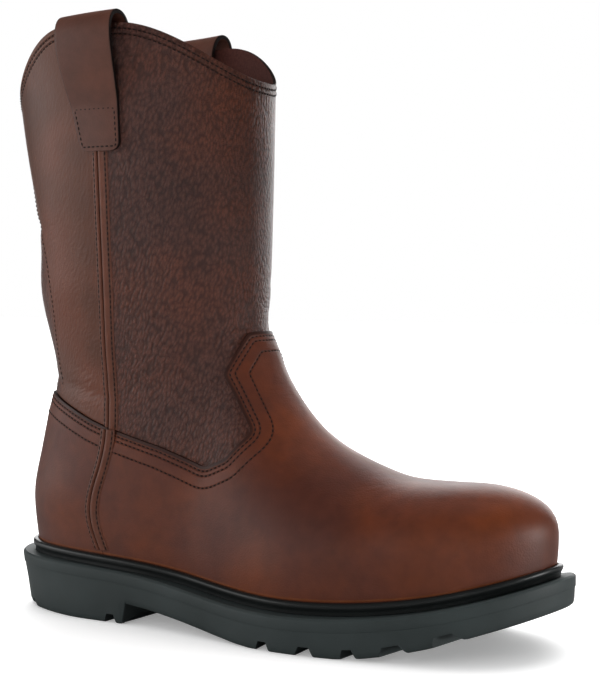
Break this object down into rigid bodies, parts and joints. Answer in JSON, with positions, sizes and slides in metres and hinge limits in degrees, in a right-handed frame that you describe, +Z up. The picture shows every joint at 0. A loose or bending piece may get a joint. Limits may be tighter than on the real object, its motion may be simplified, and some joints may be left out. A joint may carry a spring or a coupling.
{
  "type": "pull-on work boot",
  "caption": "Right-foot pull-on leather work boot with a scalloped collar, pull loops, overlaid vamp and counter, black welt and a lugged rubber sole with heel.",
  "frame": {"origin": "on the floor, under the middle of the boot's length and width", "axes": "+X to the toe, +Y to the inner side of the foot, +Z up"},
  "size_m": [0.3116, 0.1316, 0.3131],
  "materials": {
    "sole_rubber": "matte charcoal moulded rubber",
    "welt_rubber": "glossy black bead",
    "insole_board": "brown covered board",
    "shaft_leather": "pebbled dark brown leather",
    "foot_leather": "smooth waxed red-brown leather",
    "strip_leather": "smooth red-brown leather strip",
    "loop_leather": "smooth dark brown strap leather"
  },
  "bodies": {
    "root": {"outsole": "sole_rubber", "welt": "welt_rubber", "insole": "insole_board", "upper": "shaft_leather", "vamp": "foot_leather", "counter": "foot_leather", "joint_strip_lateral": "strip_leather", "joint_strip_medial": "strip_leather", "side_stay_lateral": "strip_leather", "side_stay_medial": "strip_leather", "pull_loop_lateral": "loop_leather", "pull_loop_medial": "loop_leather"}
  },
  "joints": []
}
